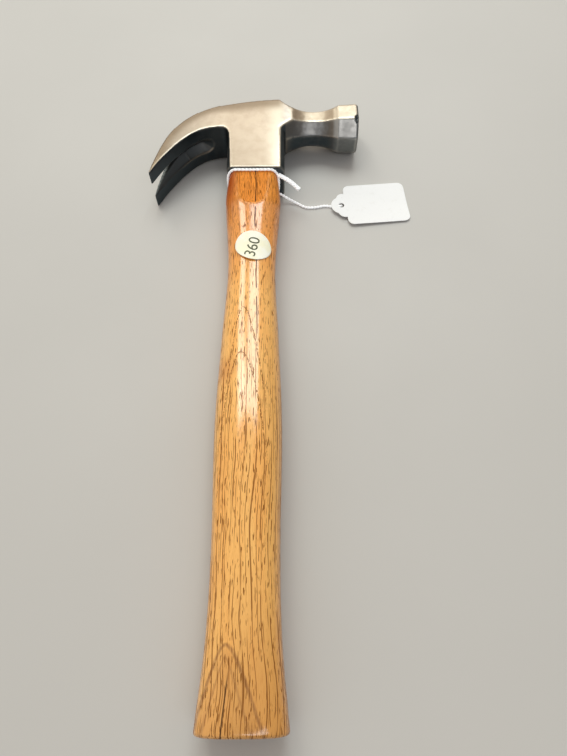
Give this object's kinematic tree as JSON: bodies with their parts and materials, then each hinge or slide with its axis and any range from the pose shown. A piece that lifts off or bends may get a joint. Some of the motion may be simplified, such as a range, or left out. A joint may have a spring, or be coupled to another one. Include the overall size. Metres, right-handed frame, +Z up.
{
  "type": "claw hammer",
  "caption": "Curved claw hammer with a forged steel head and a wedged, varnished wooden handle, lying on its side with a round sticker and a string tag.",
  "frame": {"origin": "under the middle of the box round the hammer without its tag and the tag's free string, on the surface it lies on", "axes": "+X from the claw to the striking face, +Y from the butt to the head, +Z up out of the upper cheek"},
  "size_m": [0.1527, 0.335, 0.028],
  "materials": {
    "forged_steel": "satin",
    "varnished_wood": "gloss varnish",
    "bare_wood": "bare",
    "wedge_steel": "dull",
    "sticker_paper": "matte",
    "cotton_string": "matte",
    "tag_paper": "matte"
  },
  "bodies": {
    "root": {"head": "forged_steel", "handle": "varnished_wood", "wood_wedge": "bare_wood", "steel_wedge_claw_side": "wedge_steel", "steel_wedge_face_side": "wedge_steel", "lot_sticker": "sticker_paper", "tag_string_loop": "cotton_string", "tag_string_lead": "cotton_string", "tag": "tag_paper"}
  },
  "joints": []
}
